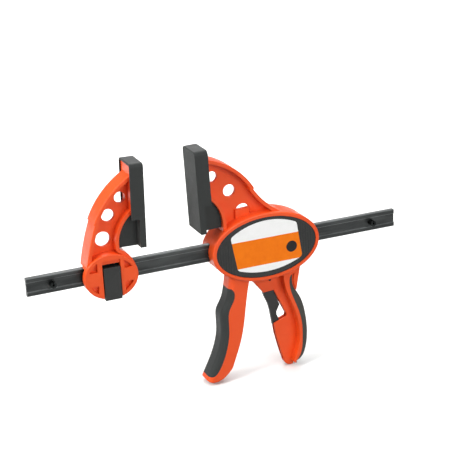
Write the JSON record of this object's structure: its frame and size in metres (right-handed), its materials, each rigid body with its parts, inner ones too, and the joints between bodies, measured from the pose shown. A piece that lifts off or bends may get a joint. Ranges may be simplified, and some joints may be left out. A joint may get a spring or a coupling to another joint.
{
  "type": "quick release bar clamp",
  "caption": "One-handed quick release bar clamp: grooved steel bar, pistol-grip handle with fixed jaw and squeeze trigger, sliding jaw with lock button, rubber pads.",
  "frame": {"origin": "middle of the handle jaw's clamping face, on the clamp's mid-plane", "axes": "+X along the bar from the sliding jaw's end towards the bar's tail; +Y across the clamp, away from the label on the near side; +Z from the bar up towards the jaws' tips"},
  "size_m": [0.39, 0.0326, 0.2472],
  "materials": {
    "frame_nylon": "orange glass-filled nylon, satin",
    "cover_nylon": "black nylon, fine texture",
    "label": "printed film, satin, bare of text",
    "soft_rubber": "soft overmoulded rubber, matt",
    "pad_rubber": "moulded rubber, fine pebble on the clamping face",
    "lever_nylon": "black nylon, satin",
    "bar_steel": "black oxide, oiled, semi-gloss",
    "black_steel": "black oxide, semi-gloss",
    "hardened_steel": "stamped, tumbled",
    "plated_steel": "zinc plated",
    "spring_steel": "drawn wire"
  },
  "bodies": {
    "handle": {"handle_frame": "frame_nylon", "front_cover": "cover_nylon", "rear_cover": "cover_nylon", "front_label": "label", "rear_label": "label", "cover_screws": "plated_steel", "grip_overmould": "soft_rubber", "handle_jaw_pad": "pad_rubber", "trigger_pin": "plated_steel", "drive_spring": "spring_steel", "brake_spring": "spring_steel", "release_stop_pin": "black_steel"},
    "trigger": {"trigger": "frame_nylon", "trigger_grip": "soft_rubber"},
    "drive": {"drive_plates": "hardened_steel"},
    "release": {"brake_plate": "hardened_steel", "release_lever": "lever_nylon"},
    "bar": {"clamp_bar": "bar_steel", "stop_pins": "black_steel"},
    "jaw": {"sliding_jaw": "frame_nylon", "sliding_jaw_pad": "pad_rubber", "jaw_lock_spring": "spring_steel"},
    "lock": {"jaw_lock_button": "lever_nylon", "jaw_lock_plate": "hardened_steel"}
  },
  "joints": [
    {"name": "bar_slide", "type": "slide", "parent": "handle", "child": "bar", "axis": [1, 0, 0], "range_m": [-0.06, 0.03]},
    {"name": "jaw_slide", "type": "slide", "parent": "bar", "child": "jaw", "axis": [1, 0, 0], "range_m": [-0.024, 0.02]},
    {"name": "jaw_lock", "type": "slide", "parent": "jaw", "child": "lock", "axis": [0, 0, 1], "range_m": [0, 0.0025], "stiffness_N_per_m": 400, "springref_m": -0.002, "deforming": ["jaw_lock_spring"]},
    {"name": "trigger_squeeze", "type": "hinge", "parent": "handle", "child": "trigger", "pos_m": [0.044, 0, -0.0496], "axis": [0, -1, 0], "range_deg": [0, 17], "stiffness_Nm_per_rad": 0.8, "springref_deg": -14.32, "deforming": ["drive_spring"]},
    {"name": "drive_push", "type": "slide", "parent": "handle", "child": "drive", "axis": [1, 0, 0], "range_m": [0, 0.012], "deforming": ["drive_spring"]},
    {"name": "release_pull", "type": "hinge", "parent": "handle", "child": "release", "pos_m": [0.0845, 0, -0.0501], "axis": [0, -1, 0], "range_deg": [0, 4.8], "stiffness_Nm_per_rad": 1.2, "springref_deg": -4.58}
  ],
  "couplings": [
    {"joint": "drive_push", "follows": "trigger_squeeze", "m_per_rad": 0.039}
  ]
}
